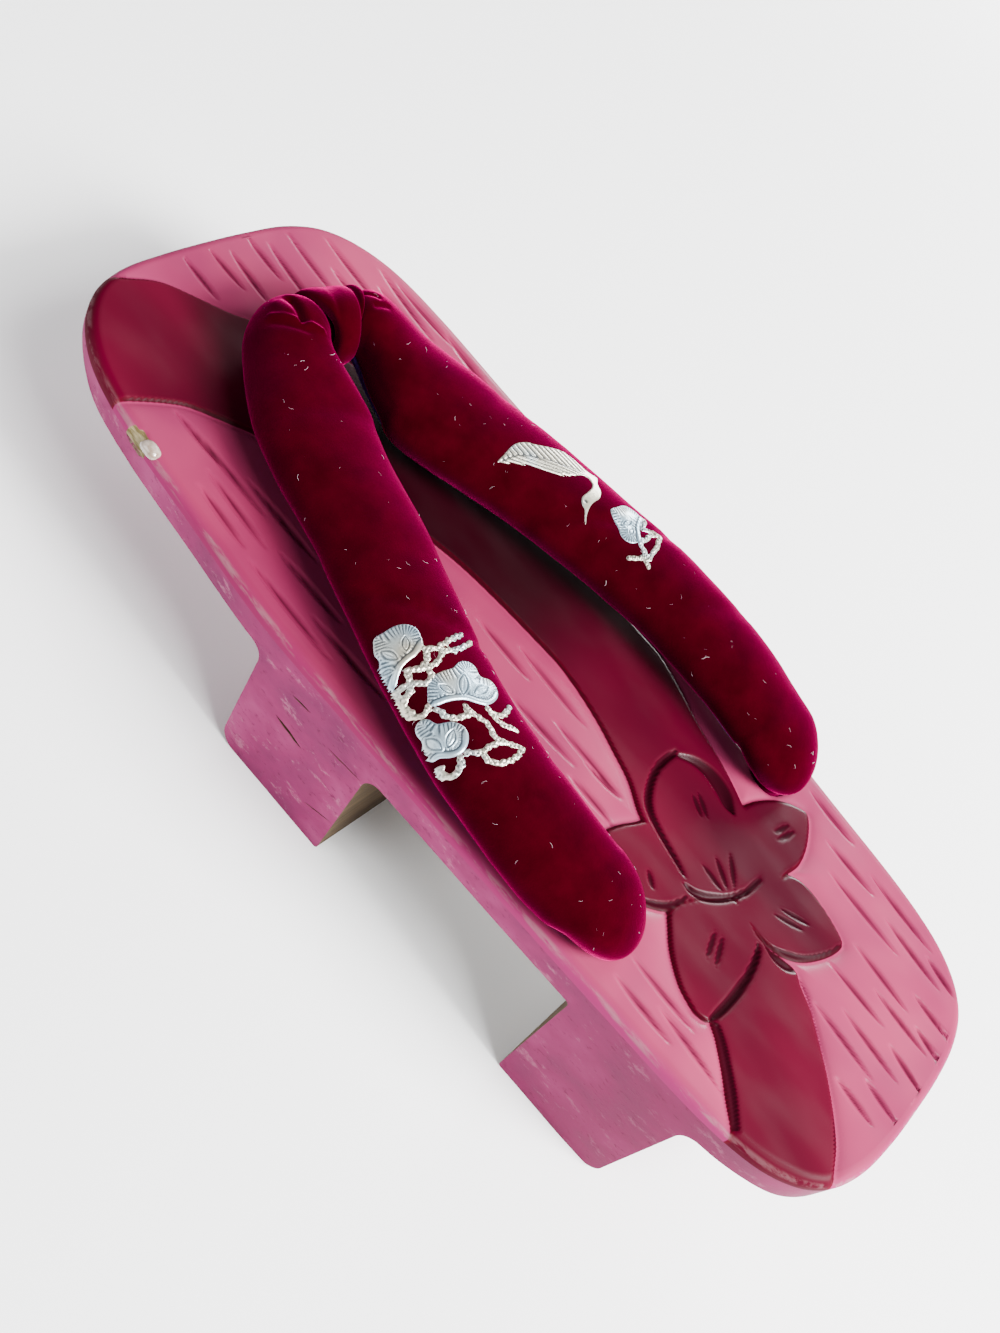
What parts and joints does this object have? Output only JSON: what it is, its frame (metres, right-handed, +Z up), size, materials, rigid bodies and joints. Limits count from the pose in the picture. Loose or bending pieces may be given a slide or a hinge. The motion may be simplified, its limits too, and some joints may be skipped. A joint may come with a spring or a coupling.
{
  "type": "geta sandal",
  "caption": "Wooden geta sandal: a board on two cross teeth, with padded straps that meet at a toe loop.",
  "frame": {"origin": "on the floor, under the middle of the board's length and width", "axes": "+Z up, +Y toward the toe, +X toward the wearer's right"},
  "size_m": [0.0926, 0.2312, 0.0599],
  "materials": {
    "pink_lacquer": "carved wood under pink and dark red lacquer, glossy on top",
    "crimson_velvet": "crimson velvet over padding",
    "hemp_cord": "twisted hemp cord, dull"
  },
  "bodies": {
    "root": {"dai": "pink_lacquer", "strap": "crimson_velvet", "toe_loop": "crimson_velvet", "front_knot": "hemp_cord", "rear_knot_left": "hemp_cord", "rear_knot_right": "hemp_cord"}
  },
  "joints": []
}
